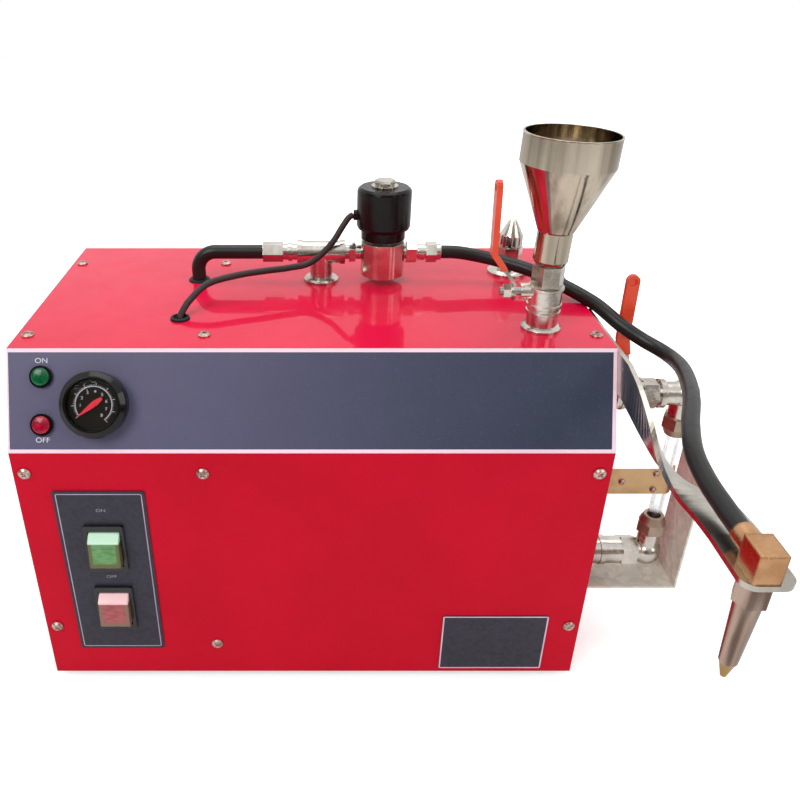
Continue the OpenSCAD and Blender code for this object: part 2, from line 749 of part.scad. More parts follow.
module coil() {
    z0 = valve_z1 + 2.5;
    color("#1e1a1a") translate([valve_x, line_y, z0]) difference() {
        union() {
            cylinder(h = 7 + eps, r = coil_r * 0.82, $fn = fine);
            rotate_extrude($fn = 96) polygon([[0, 7], [coil_r - 3.2, 7], [coil_r - 1, 8], [coil_r, 10.2],
                [coil_r, coil_h - 3], [coil_r - 0.6, coil_h - 1.4], [coil_r - 2.4, coil_h], [0, coil_h]]);
            // gland of the lead
            translate([-coil_r * 0.9, 0, 17.5]) rotate([0, -90, 0]) cylinder(h = 4.5, r = 4, $fn = 32);
        }
        translate([0, 0, -1]) cylinder(h = coil_h + 2, r = tube_r + fit, $fn = fine);
        translate([0, 0, 1 - eps]) translate([0, 0, -2]) cylinder(h = 1, r = 11.2, $fn = fine);
    }
}

module coil_nut() {
    z0 = valve_z1 + 2.5 + coil_h;
    color("silver") translate([valve_x, line_y, z0]) difference() {
        union() {
            cylinder(h = 1.2, r = 10, $fn = fine);
            translate([0, 0, 1.2 - eps]) hexagon(4, 13);
        }
        translate([0, 0, -1]) cylinder(h = tube_top - z0 + 1.02, r = tube_r - 0.6 + 0.65, $fn = fine);
    }
}

module hose_fitting() {
    x0 = valve_x + valve_half;
    x1 = x0 + fitting_len;
    color("silver") difference() {
        union() {
            rod_x(x0, x1, 5.2, line_y, line_z);
            translate([x0 + 1.5, line_y, line_z]) rotate([0, 90, 0]) hexagon(8, 15);
            rod_x(x0 + 11, x0 + 16, 6.4, line_y, line_z);
            translate([x0 + 17, line_y, line_z]) rotate([0, 90, 0]) rotate([0, 0, 30]) hexagon(8, 14);
            rod_x(x0 + 25, x1, 6.2, line_y, line_z);
        }
        rod_x(x0 - 1, x1 + 1, bore_r, line_y, line_z);
    }
}

module steam_hose() { color("#262422") swept(hose_points, hose_r, 10, 4); }
module coil_lead() { color("#2c2423") swept(lead_points, lead_r, 8, 6); }

module grommets() {
    lead_at = lead_points[len(lead_points) - 1];
    color("#1a1a1a") {
        translate([lead_at[0], lead_at[1], zt]) rotate_extrude($fn = fine) polygon([[lead_r + 0.2, -3.5], [5 - fit, -3.5],
            [5 - fit, 0], [7, 0], [6.6, 1.6], [5, 2.2], [lead_r + 1, 0.2], [lead_r + 0.2, 0]]);
        translate([pipe_x, line_y, zt]) rotate_extrude($fn = fine) polygon([[pipe_r + fit, -3], [pipe_r + 2 - fit, -3],
            [pipe_r + 2 - fit, 0], [pipe_r + 3, 0], [pipe_r + 2.6, 1.2], [pipe_r + 1.2, 1.8], [pipe_r + fit, 1.8]]);
        // gland for the mains lead, low in the rear wall
        translate([mains_x, yr, zb + 34]) rotate([-90, 0, 0]) difference() {
            union() {
                hexagon(6, 22);
                translate([0, 0, 6 - eps]) cylinder(h = 8, r1 = 9.5, r2 = 6.5, $fn = fine);
                translate([0, 0, -8]) cylinder(h = 8 + eps, r = 8, $fn = fine);
            }
            translate([0, 0, -10]) cylinder(h = 30, r = 4, $fn = fine);
        }
    }
}

// Lock rings that clamp the fittings to the top panel.
module panel_flanges() {
    color("silver") {
        translate([tee_x, line_y, zt]) ring_plate(13.5, riser_r - 2, 4);
        translate([fill_x, fill_y, zt]) ring_plate(13.5, riser_r - 2, 4);
        translate([safety_x, safety_y, zt]) ring_plate(16, riser_r - 2, 4);
    }
}

module ring_plate(r, hole, h) {
    rotate_extrude($fn = 64) polygon([[hole, 0], [r, 0], [r, h * 0.5], [r - h * 0.35, h * 0.8],
        [r - h * 0.8, h], [hole, h]]);
}

// ---- funnel and filling valve ----

module funnel() {
    n0 = hex_top + 1.5;
    top = funnel_h;
    c1 = top - 19;
    color("gainsboro") translate([fill_x, fill_y, n0]) rotate([0, funnel_lean, 0]) rotate_extrude($fn = 96) polygon([
        [spigot_r + 2 * fit, 0], [neck_r - 1, 0], [neck_r, 2], [neck_r, neck_h - 1], [neck_r + 0.6, neck_h],
        [mouth_r - 0.7, c1 - 1], [mouth_r, c1 + 0.6], [mouth_r, top - 0.9], [mouth_r + 0.3, top - 0.6],
        [mouth_r + 0.2, top], [mouth_r - funnel_t, top], [mouth_r - funnel_t, c1 + 0.6],
        [neck_r - funnel_t, neck_h + 0.3], [neck_r - funnel_t, 3], [spigot_r + 2 * fit, 3]]);
}

// Body of a ball valve along local Z, centred on its ball, with the stem's boss along local +X.
module valve_barrel(low, high) {
    difference() {
        union() {
            rotate_extrude($fn = fine) polygon([[0, -low], [10.6, -low], [10.6, -15], [11.6, -14.6], [11.6, -12.8],
                [10.8, -12.4], [10.8, -10.6], [11.8, -10.2], [11.8, -8], [11, -7.6], [11, 2], [12, 2.4], [12, 4],
                [9, 4.4], [0, 4.4]]);
            translate([0, 0, 4.4 - eps]) hexagon(high - 4.4, 19);
            rotate([0, 90, 0]) cylinder(h = boss_len, r = 5.5, $fn = fine);
        }
        sphere(r = ball_r + gap, $fn = fine);
        translate([0, 0, -low - 1]) cylinder(h = low + high + 30, r = ball_bore, $fn = fine);
        rotate([0, 90, 0]) cylinder(h = boss_len + 1, r = stem_r + fit, $fn = fine);
    }
}

module ball_and_stem() {
    difference() {
        union() {
            sphere(r = ball_r, $fn = fine);
            rotate([0, 90, 0]) cylinder(h = stem_len, r = stem_r, $fn = fine);
        }
        translate([0, 0, -ball_r - 1]) cylinder(h = 2 * ball_r + 2, r = ball_bore, $fn = fine);
    }
}

function lever_path(z1) = [[lever_x, -6], [lever_x, 6], [lever_x + 15.5, 26], [lever_x + 17, z1]];

module lever_strap() {
    color("silver") difference() {
        intersection() {
            rotate([90, 0, 0]) translate([0, 0, -20]) linear_extrude(40) polygon(strip(lever_path(lever_len - 2), lever_t));
            rotate([90, 0, 90]) linear_extrude(100) union() {
                circle(r = 6, $fn = 32);
                translate([-lever_w / 2, 0]) square([lever_w, lever_len]);
            }
        }
        rotate([0, 90, 0]) cylinder(h = 100, r = stem_r + fit, $fn = fine);
    }
}

// Plastic sleeve over the lever's straight part and half of its dog-leg.
module lever_sleeve() {
    path = [[lever_x + 7.75, 16], [lever_x + 15.5, 26], [lever_x + 17, lever_len]];
    w = lever_w + 2 * grip_t;
    difference() {
        intersection() {
            rotate([90, 0, 0]) translate([0, 0, -20]) linear_extrude(40) polygon(strip(path, lever_t + 2 * grip_t));
            rotate([90, 0, 90]) linear_extrude(100) union() {
                translate([-w / 2, 0]) square([w, lever_len - w / 2]);
                translate([0, lever_len - w / 2]) circle(r = w / 2, $fn = 32);
            }
        }
        rotate([90, 0, 0]) translate([0, 0, -lever_w / 2 - fit]) linear_extrude(lever_w + 2 * fit)
            polygon(strip(lever_path(lever_len - 2 + fit), lever_t + 2 * fit));
        translate([0, 0, lever_len - w * 0.55]) rotate([0, 90, 0]) cylinder(h = 100, r = 2.6, $fn = fine);
    }
}

module lever_nut() {
    difference() {
        union() {
            translate([lever_x + lever_t / 2, 0, 0]) rotate([0, 90, 0]) cylinder(h = 1, r = 5.4, $fn = 32);
            translate([lever_x + lever_t / 2 + 1 - eps, 0, 0]) rotate([0, 90, 0]) hexagon(5, 9);
        }
        rotate([0, 90, 0]) cylinder(h = 100, r = stem_r + fit, $fn = fine);
    }
}

module at_fill() { translate([fill_x, fill_y, fill_z]) rotate([0, 0, 180]) children(); }
module at_side() { translate([side_x, wg_y, high_z]) rotate([0, 0, 90]) children(); }

module fill_valve_body() {
    color("silver") difference() {
        union() {
            at_fill() valve_barrel(fill_z - zt - 4, hex_top - fill_z);
            translate([fill_x, fill_y, hex_top - eps]) cylinder(h = spigot_h + 1.5, r = spigot_r, $fn = fine);
        }
        translate([fill_x, fill_y, fill_z]) cylinder(h = 60, r = ball_bore, $fn = fine);
    }
}

module fill_ball() { color("gray") at_fill() ball_and_stem(); }
module fill_lever() { at_fill() lever_strap(); }
module fill_grip() { color("orangered") at_fill() lever_sleeve(); }
module fill_nut() { color("silver") at_fill() lever_nut(); }

// ---- water gauge at the right side ----

module side_valve_body() {
    color("silver") difference() {
        union() {
            // barrel along X, the stem's boss towards the rear
            translate([side_x, wg_y, high_z]) rotate([0, 90, 0]) rotate([0, 0, 90]) valve_barrel(14, 15);
            rod_x(xr, side_x - 14 + eps, 10.6, wg_y, high_z);
            rod_x(tank_x1, xr + eps, 8, wg_y, high_z);
        }
        rod_x(tank_x1 - 1, side_x, ball_bore, wg_y, high_z);
    }
}

module side_ball() { color("gray") at_side() ball_and_stem(); }
module side_lever() { at_side() lever_strap(); }
module side_grip() { color("orangered") at_side() lever_sleeve(); }
module side_nut() { color("silver") at_side() lever_nut(); }

module gauge_elbows() {
    color("silver") {
        // upper elbow, from the valve's outlet down to the glass
        difference() {
            union() {
                rod_x(side_x + 15, wg_x, 8.5, wg_y, high_z);
                rod_x(side_x + 17, side_x + 21, 10.5, wg_y, high_z);
                translate([wg_x, wg_y, high_z]) sphere(r = 10.5, $fn = fine);
                translate([wg_x, wg_y, high_z - 18]) cylinder(h = 18, r = 8.5, $fn = fine);
            }
            rod_x(side_x, wg_x, bore_r, wg_y, high_z);
            translate([wg_x, wg_y, high_z - 19]) cylinder(h = 19, r = bore_r, $fn = fine);
            translate([wg_x, wg_y, high_z - 19]) cylinder(h = 9, r = glass_r + 0.1, $fn = fine);
        }
        // lower elbow, with its socket and hexagon
        difference() {
            union() {
                rod_x(tank_x1, xr + eps, 8, wg_y, low_z);
                rod_x(xr, xr + 43, 10.8, wg_y, low_z);
                rod_x(xr + 26, xr + 30, 11.6, wg_y, low_z);
                translate([xr + 43 - eps, wg_y, low_z]) rotate([0, 90, 0]) hexagon(12, 21);
                rod_x(xr + 55 - eps, wg_x, 9, wg_y, low_z);
                translate([wg_x, wg_y, low_z]) sphere(r = 11.5, $fn = fine);
                translate([wg_x, wg_y, low_z]) cylinder(h = 20, r = 8.5, $fn = fine);
            }
            rod_x(tank_x1 - 1, wg_x, bore_r, wg_y, low_z);
            translate([wg_x, wg_y, low_z]) cylinder(h = 30, r = bore_r, $fn = fine);
            translate([wg_x, wg_y, low_z + 12]) cylinder(h = 20, r = glass_r + 0.1, $fn = fine);
        }
    }
}

module gland_nut() {
    difference() {
        union() {
            hexagon(9, 19);
            translate([0, 0, 9 - eps]) cylinder(h = 6, r1 = 10, r2 = 7.5, $fn = fine);
        }
        translate([0, 0, -1]) cylinder(h = 20, r = glass_r + 0.2, $fn = fine);
    }
}

module gland_nuts() {
    color("silver") {
        translate([wg_x, wg_y, low_z + 20]) gland_nut();
        translate([wg_x, wg_y, high_z - 18]) mirror([0, 0, 1]) gland_nut();
    }
}

module sight_glass() {
    color("lightcyan", 0.4) translate([wg_x, wg_y, low_z + 12]) difference() {
        cylinder(h = glass_span - 22, r = glass_r, $fn = fine);
        translate([0, 0, -1]) cylinder(h = glass_span, r = glass_r - 1.5, $fn = fine);
    }
}

// Brass strap: a tab on the wall, a flat run, and a half round over the front of the glass.
module glass_strap() {
    t = 1.2;
    r = glass_r + gap;
    y0 = wg_y - r - t;
    color("goldenrod") difference() {
        union() {
            translate([xr, y0, strap_z - strap_h / 2]) cube([t, 17, strap_h]);
            translate([xr, y0, strap_z - strap_h / 2]) cube([glass_out + eps, t, strap_h]);
            translate([wg_x, wg_y, strap_z - strap_h / 2]) difference() {
                cylinder(h = strap_h, r = r + t, $fn = fine);
                translate([0, 0, -1]) cylinder(h = strap_h + 2, r = r, $fn = fine);
                translate([-20, -20, -1]) cube([20, 40, strap_h + 2]);
                translate([0, 0, -1]) cube([20, 20, strap_h + 2]);
            }
        }
        bracket_screw_places() screw_hole();
    }
}

// Galvanised guard: a wall tab, a floor under the lower fitting and an outer wall.
module glass_guard() {
    t = 1.5;
    y0 = wg_y - guard_w / 2;
    color("lightgray") difference() {
        union() {
            translate([xr, y0, guard_z - 16]) cube([t, guard_w, 16 + eps]);
            translate([xr, y0, guard_z - t]) cube([guard_x - xr, guard_w, t]);
            translate([guard_x - eps, y0, guard_z - t]) cube([t, guard_w, guard_top - guard_z]);
        }
        bracket_screw_places() screw_hole();
    }
}

module out_right(y, z, t) { translate([xr + t, y, z]) rotate([0, 90, 0]) children(); }

module bracket_screw_places() {
    for (y = [yf + 30, yf + 62]) out_right(y, arm_z, arm_t) children();
    for (z = [-6, 6]) out_right(wg_y + 6, strap_z + z, 1.2) children();
    for (y = [-12, 12]) out_right(wg_y + y, guard_z - 9, 1.5) children();
}

module bracket_screws() {
    color("silver") {
        bracket_screw_places() screw();
        for (p = [[31, 0], [glass_out - 9, 7], [glass_out - 9, -7]])
            translate([xr + p[0], wg_y - glass_r - gap - 1.2, strap_z + p[1]]) rotate([90, 0, 0]) screw(2.4, 0);
    }
}

// ---- safety valve ----

module safety_body() {
    color("silver") translate([safety_x, safety_y, zt + 4]) difference() {
        union() {
            cylinder(h = 4, r = 8, $fn = fine);
            translate([0, 0, 4 - eps]) hexagon(14, 18);
            translate([0, 0, 18 - eps]) difference() {
                rotate_extrude($fn = 64) polygon([[0, 0], [8.4, 0], [9.2, 1], [9.2, 9], [8.4, 10.4], [6.6, 14],
                    [4.6, 18], [3, 20.6], [1.6, 21.5], [0, 21.5]]);
                // flutes
                for (a = [0:30:330]) rotate([0, 0, a]) translate([9.9, 0, 1.5]) cylinder(h = 20, r = 1.4, $fn = 24);
            }
        }
        translate([0, 0, -1]) cylinder(h = 6.4, r = riser_r - 2, $fn = fine);
        translate([0, 0, 5]) cylinder(h = 23, r = 6.5, $fn = fine);
        cylinder(h = 37, r = 2, $fn = fine);
    }
}

module safety_spring() {
    color("silver") translate([safety_x, safety_y, zt + 13.3 + fit]) coil_spring(4.6, 0.6, 18.5, 5);
}

module safety_poppet() {
    color("goldenrod") translate([safety_x, safety_y, zt + 4]) {
        translate([0, 0, 5 + gap]) cylinder(h = 4, r = 6, $fn = fine);
        translate([0, 0, 9]) cylinder(h = 26, r = 2 - fit, $fn = fine);
    }
}

// ---- nozzle arm ----

// Twisted stretch of the arm, a flat section carried along the stops.
module arm_twist() {
    k = 4;
    last = (len(twist_stops) - 1) * k;
    corners = [for (c = [[-1, -1], [1, -1], [1, 1], [-1, 1]]) [c[0] * arm_t / 2, c[1] * arm_w / 2]];
    rings = [for (j = [0:last])
        let (stop = curve_at(twist_stops, j / k), a = min(90, max(0, stop[2])))
        for (c = corners) [arm_x + c[0] * cos(a) - c[1] * sin(a), twist_y0 - stop[0] * twist_len,
            arm_z - stop[1] * arm_dip + c[0] * sin(a) + c[1] * cos(a)]];
    faces = concat([[0, 1, 2, 3], [for (q = [3:-1:0]) last * 4 + q]],
        [for (j = [0:last - 1], q = [0:3]) [j * 4 + q, (j + 1) * 4 + q, (j + 1) * 4 + (q + 1) % 4]],
        [for (j = [0:last - 1], q = [0:3]) [j * 4 + q, (j + 1) * 4 + (q + 1) % 4, j * 4 + (q + 1) % 4]]);
    polyhedron(rings, faces, convexity = 6);
}

module nozzle_arm() {
    r = 7;
    color("silver") difference() {
        union() {
            translate([xr, twist_y0 - eps, arm_z - arm_w / 2]) cube([arm_t, 92, arm_w]);
            arm_twist();
            translate([arm_x - arm_w / 2, arm_y1 + r, arm_end_z - arm_t / 2]) cube([arm_w, twist_y1 - arm_y1 - r + eps, arm_t]);
            translate([arm_x - arm_w / 2 + r, arm_y1, arm_end_z - arm_t / 2]) cube([arm_w - 2 * r, r + 1, arm_t]);
            for (s = [-1, 1]) translate([arm_x + s * (arm_w / 2 - r), arm_y1 + r, arm_end_z - arm_t / 2])
                cylinder(h = arm_t, r = r, $fn = fine);
        }
        bracket_screw_places() screw_hole();
        translate([nozzle_x, nozzle_y, arm_end_z - 10]) cylinder(h = 20, r = 3 + fit, $fn = fine);
    }
}

module brass_block() {
    z0 = arm_end_z + arm_t / 2;
    color("peru") difference() {
        union() {
            translate([nozzle_x - block_w / 2, nozzle_y - block_d / 2, z0]) cube([block_w, block_d, block_h]);
            translate([nozzle_x, nozzle_y + block_d / 2 - eps, port_z]) rotate([-90, 0, 0])
                cylinder(h = ferrule_len + eps, r = ferrule_r, $fn = fine);
            translate([nozzle_x, nozzle_y, z0 - arm_t]) cylinder(h = arm_t + eps, r = 3, $fn = fine);
        }
        translate([nozzle_x, nozzle_y, z0 - arm_t - 1]) cylinder(h = block_h / 2 + arm_t + 1, r = 1.5, $fn = fine);
        translate([nozzle_x, nozzle_y, port_z]) rotate([-90, 0, 0]) cylinder(h = 40, r = 1.5, $fn = fine);
    }
}

module nozzle() {
    hex_h = 12;
    tip_h = 10;
    taper_h = nozzle_len - hex_h;
    color("silver") translate([nozzle_x, nozzle_y, arm_end_z - arm_t / 2]) difference() {
        union() {
            translate([0, 0, -hex_h]) hexagon(hex_h, nozzle_hex);
            translate([0, 0, -nozzle_len]) rotate_extrude($fn = fine) polygon([[0, 0], [1.5, 0], [3.8, tip_h - 1], [4.4, tip_h],
                [4.6, tip_h + 3], [6.3, taper_h - 2], [6.6, taper_h + eps], [0, taper_h + eps]]);
        }
        translate([0, 0, -nozzle_len - 1]) cylinder(h = nozzle_len + 2, r = 1, $fn = 32);
    }
}

base_tray();
rubber_feet();
side_shell();
top_panel();
band_panel();
front_panel();
panel_screws();
boiler_tank();
heater_element();
pressure_switch();
terminal_block();
gauge_case();
gauge_dial();
gauge_lens();
gauge_needle();
lamp_bezels();
green_lens();
red_lens();
switch_plate();
switch_frames();
steam_rocker();
heat_rocker();
data_plate();
steam_pipe();
steam_unions();
tee();
solenoid_body();
plunger_tube();
plunger();
plunger_spring();
coil();
coil_nut();
hose_fitting();
steam_hose();
coil_lead();
grommets();
panel_flanges();
funnel();
fill_valve_body();
fill_ball();
fill_lever();
fill_grip();
fill_nut();
side_valve_body();
side_ball();
side_lever();
side_grip();
side_nut();
gauge_elbows();
gland_nuts();
sight_glass();
glass_strap();
glass_guard();
safety_body();
safety_poppet();
safety_spring();
nozzle_arm();
brass_block();
nozzle();
bracket_screws();
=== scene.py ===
import math

import bpy
from mathutils import Matrix, Vector


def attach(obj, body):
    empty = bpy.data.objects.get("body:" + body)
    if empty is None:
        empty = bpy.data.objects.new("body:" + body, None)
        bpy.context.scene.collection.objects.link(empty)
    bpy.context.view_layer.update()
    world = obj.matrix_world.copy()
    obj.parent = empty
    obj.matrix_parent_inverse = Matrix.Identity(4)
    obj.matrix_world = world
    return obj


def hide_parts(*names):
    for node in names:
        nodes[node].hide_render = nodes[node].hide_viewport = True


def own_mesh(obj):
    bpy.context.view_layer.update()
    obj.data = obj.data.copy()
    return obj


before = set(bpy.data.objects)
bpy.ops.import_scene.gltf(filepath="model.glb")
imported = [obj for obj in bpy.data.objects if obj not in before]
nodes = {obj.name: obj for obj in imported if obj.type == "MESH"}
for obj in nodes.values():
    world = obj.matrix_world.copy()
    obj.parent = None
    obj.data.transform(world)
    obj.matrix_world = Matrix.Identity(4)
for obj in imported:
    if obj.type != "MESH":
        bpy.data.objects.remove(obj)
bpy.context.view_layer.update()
mm = 0.001
print("frame loaded")

# The camera of the photograph, in metres and degrees
camera = {"place": (0.00645, -0.5604, 0.4979), "pitch": 60.82, "lens": 36.07, "sideShift": 0.0978}
camData = bpy.data.cameras.new("camera")
camData.lens = camera["lens"]
camData.sensor_width = 36
camData.shift_x = camera["sideShift"]
camData.clip_start = 0.01
camObject = bpy.data.objects.new("camera", camData)
camObject.location = camera["place"]
camObject.rotation_euler = (math.radians(camera["pitch"]), 0, 0)
bpy.context.scene.collection.objects.link(camObject)
bpy.context.scene.camera = camObject

# The housing's planes, as in the CAD, in millimetres
housing = {"front": -117, "topFront": -86.5, "kneeZ": 210, "topZ": 272, "halfWidth": 200}
slopeRun = housing["topFront"] - housing["front"]
slopeDrop = housing["topZ"] - housing["kneeZ"]
slopeLength = math.hypot(slopeRun, slopeDrop)


# Screen colour from 0 to 255, as the linear colour that a shader takes
def colour(red, green, blue):
    def linear(value):
        value /= 255
        return value / 12.92 if value <= 0.04045 else ((value + 0.055) / 1.055) ** 2.4
    return (linear(red), linear(green), linear(blue), 1)


# A number or float socket of a node tree; each operation adds one Math node
class Num:
    def __init__(self, tree, value):
        self.tree = tree
        self.value = value

    def step(self, operation, *others):
        numbers = dict(enumerate((self, *others)))
        made = addNode(self.tree, "ShaderNodeMath", {"operation": operation}, numbers)
        return Num(self.tree, made.outputs[0])

    def __add__(self, other):
        return self.step("ADD", other)

    def __sub__(self, other):
        return self.step("SUBTRACT", other)

    def __rsub__(self, other):
        return Num(self.tree, other).step("SUBTRACT", self)

    def __mul__(self, other):
        return self.step("MULTIPLY", other)

    def __truediv__(self, other):
        return self.step("DIVIDE", other)

    def __gt__(self, other):
        return self.step("GREATER_THAN", other)

    def __lt__(self, other):
        return self.step("LESS_THAN", other)

    __radd__ = __add__
    __rmul__ = __mul__

    def most(self, other):
        return self.step("MAXIMUM", other)

    def least(self, other):
        return self.step("MINIMUM", other)

    def size(self):
        return self.step("ABSOLUTE")

    # Rises smoothly from 0 at low to 1 at high
    def ramp(self, low, high):
        made = addNode(self.tree, "ShaderNodeMapRange", {"clamp": True, "interpolation_type": "SMOOTHSTEP"},
                       {"Value": self, "From Min": low, "From Max": high})
        return Num(self.tree, made.outputs["Result"])


# Adds a node: its settings first, then the values or links of its sockets
def addNode(tree, kind, settings=None, values=None):
    made = tree.nodes.new(kind)
    for key, value in (settings or {}).items():
        setattr(made, key, value)
    for key, value in (values or {}).items():
        feed(tree, made.inputs[key], value)
    return made


# Links a value to a socket, or sets it where it is a plain one
def feed(tree, target, value):
    held = value.value if isinstance(value, Num) else value
    if isinstance(held, bpy.types.NodeSocket):
        tree.links.new(held, target)
    else:
        target.default_value = held


def mixColours(tree, factor, first, second):
    made = addNode(tree, "ShaderNodeMix", {"data_type": "RGBA"}, {0: factor, 6: first, 7: second})
    return made.outputs[2]


# One material with a Principled shader
class Look:
    def __init__(self, name):
        self.material = bpy.data.materials.new(name)
        self.material.use_nodes = True
        self.tree = self.material.node_tree
        self.tree.nodes.clear()
        self.shader = self.add("ShaderNodeBsdfPrincipled")
        self.add("ShaderNodeOutputMaterial", values={"Surface": self.shader.outputs[0]})
        self.position = self.add("ShaderNodeTexCoord").outputs["Object"]

    def add(self, kind, settings=None, values=None):
        return addNode(self.tree, kind, settings, values)

    def put(self, **values):
        for key, value in values.items():
            feed(self.tree, self.shader.inputs[key.replace("_", " ")], value)
        return self

    def axes(self):
        parts = self.add("ShaderNodeSeparateXYZ", values={"Vector": self.position})
        return [Num(self.tree, out) for out in parts.outputs]

    # Noise with features about 1/scale metres across
    def noise(self, scale, detail=3, stretch=(1, 1, 1), roughness=0.55):
        spot = self.add("ShaderNodeMapping", values={"Vector": self.position, "Scale": stretch}).outputs[0]
        made = self.add("ShaderNodeTexNoise", values={"Vector": spot, "Scale": scale, "Detail": detail,
                                                      "Roughness": roughness})
        return Num(self.tree, made.outputs[0])

    def cells(self, scale):
        return self.add("ShaderNodeTexVoronoi", values={"Vector": self.position, "Scale": scale}).outputs

    def mix(self, factor, first, second):
        return mixColours(self.tree, factor, first, second)

    # Relief by a Bump node, on edges that a Bevel node rounds
    def relief(self, edge, height, strength, depth):
        bump = self.add("ShaderNodeBump", values={"Strength": strength, "Distance": depth, "Height": height})
        if edge:
            rounded = self.add("ShaderNodeBevel", {"samples": 6}, {"Radius": edge}).outputs[0]
            feed(self.tree, bump.inputs["Normal"], rounded)
        return self.put(Normal=bump.outputs[0])


# Plated or bare metal: a tint that drifts a little, smudges in the gloss, and fine pits or strokes
def metal(name, tint, dark, rough=0.16, smudge=0.12, grain=900, stroke=(1, 1, 1), edge=0.0004,
          strength=0.12, patch=(1, 1, 1)):
    look = Look(name)
    drift = look.noise(35, 4, patch)
    marks = look.noise(120, 5, roughness=0.7)
    fine = look.noise(grain, 3, stroke)
    look.put(Base_Color=look.mix(drift.ramp(0.35, 0.75), colour(*tint), colour(*dark)), Metallic=1.0,
             Roughness=rough + smudge * marks.ramp(0.4, 0.8) + 0.06 * fine)
    return look.relief(edge, fine + 0.6 * marks, strength, 0.00012)


# Plastic or rubber: a drift of colour, dust in the gloss, and a fine moulded grain
def plastic(name, tint, dark, rough=0.4, coat=0.0, grain=1400, strength=0.15, edge=0.0005, shine=0.3):
    look = Look(name)
    drift = look.noise(40, 4)
    dust = look.noise(160, 5).ramp(0.35, 0.85)
    fine = look.noise(grain, 2)
    look.put(Base_Color=look.mix(drift.ramp(0.3, 0.8), colour(*tint), colour(*dark)),
             Roughness=rough + 0.12 * dust, Coat_Weight=coat, Coat_Roughness=0.1, Specular_IOR_Level=shine)
    return look.relief(edge, fine, strength, 0.0001)


# Gloss paint: clear reflections on the flat top, a duller sheen on the walls, and painted glare that colours
# the top pinker than the walls
def redPaint():
    look = Look("redPaint")
    z = look.axes()[2]
    drift = look.noise(9, 3).ramp(0.3, 0.75)
    specks = look.noise(1500, 1).ramp(0.74, 0.78) * 0.3
    walls = look.mix(drift, colour(201, 0, 38), colour(190, 0, 32))
    # The top has the same paint as the walls; its pinker colour is painted glare
    paintedGlareTop = look.mix(drift, colour(234, 2, 66), colour(224, 0, 58))
    upper = z.ramp(housing["topZ"] * mm - 0.002, housing["topZ"] * mm - 0.001)
    paint = look.mix(upper, walls, paintedGlareTop)
    look.put(Base_Color=look.mix(specks, paint, colour(232, 96, 124)), Specular_IOR_Level=0.08,
             Roughness=0.34 + 0.1 * look.noise(60, 5).ramp(0.3, 0.8), Coat_Weight=0.07 + 0.48 * upper,
             Coat_Roughness=0.05)
    return look.relief(0.0011, look.noise(420, 2), 0.04, 0.0001)


# Film on the sloped band, with a pale stripe round its edge that is thinner at the left end
def bandFilm():
    stripe, leftShare = 0.0026, 2.2
    look = Look("bandFilm")
    x, _, z = look.axes()
    top, low, half = housing["topZ"] * mm, housing["kneeZ"] * mm, housing["halfWidth"] * mm
    rise = slopeLength / slopeDrop
    edge = (half - x).least((half + x) * leftShare).least((top - z) * rise).least((z - low) * rise)
    across = x + 0.05 * look.noise(14, 3)
    fill = look.mix(across.ramp(-0.13, 0.2), colour(90, 87, 113), colour(53, 60, 80))
    fill = look.mix(look.noise(500, 3).ramp(0.5, 0.9) * 0.2, fill, colour(112, 112, 136))
    look.put(Base_Color=look.mix(edge < stripe, fill, colour(246, 214, 228)), Specular_IOR_Level=0.35,
             Roughness=0.34 + 0.1 * look.noise(80, 4).ramp(0.3, 0.8), Coat_Weight=0.12, Coat_Roughness=0.15)
    return look.relief(0.0011, look.noise(900, 2), 0.05, 0.0001)


def plateFilm():
    look = Look("plateFilm")
    mottle = look.noise(260, 5, roughness=0.7)
    look.put(Base_Color=look.mix(mottle.ramp(0.35, 0.75), colour(50, 49, 60), colour(38, 37, 48)),
             Roughness=0.36 + 0.12 * look.noise(120, 4), Coat_Weight=0.1, Coat_Roughness=0.2,
             Specular_IOR_Level=0.25)
    return look.relief(0.0003, mottle, 0.08, 0.0001)


# Galvanised sheet: each crystal of the zinc has its own tone
def galvanised():
    look = Look("galvanised")
    crystal = look.add("ShaderNodeSeparateColor", values={"Color": look.cells(210)["Color"]})
    tone = Num(look.tree, crystal.outputs[0])
    look.put(Base_Color=look.mix(tone, colour(226, 222, 208), colour(202, 200, 188)), Metallic=0.3,
             Roughness=0.38 + 0.16 * tone + 0.08 * look.noise(400, 3))
    return look.relief(0.0003, tone + 0.4 * look.noise(90, 5), 0.12, 0.0001)


def clearGlass(name, tint, alpha):
    look = Look(name)
    film = look.noise(90, 4)
    return look.put(Base_Color=colour(*tint), Roughness=0.03 + 0.05 * film.ramp(0.45, 0.8),
                    Transmission_Weight=1.0, IOR=1.45, Alpha=alpha + 0.08 * film.ramp(0.5, 0.9))


# A lamp lens: ribbed, tinted, with a little glow
def lampLens(name, tint, deep, glow):
    look = Look(name)
    ribs = Num(look.tree, look.cells(900)["Distance"])
    look.put(Base_Color=look.mix(look.noise(300, 3).ramp(0.35, 0.7), colour(*tint), colour(*deep)),
             Roughness=0.12 + 0.1 * look.noise(500, 2), Coat_Weight=0.3, Coat_Roughness=0.05,
             Specular_IOR_Level=0.25, Emission_Color=colour(*glow), Emission_Strength=0.06)
    return look.relief(0.0004, ribs, 0.25, 0.0002)


# Where a switch cap's edge tints and the painted highlight along its top begin and end, in metres from its
# middle
capEdges = {"side": (0.0072, 0.0092), "low": (0.0068, 0.0088), "top": (0.0076, 0.0088)}
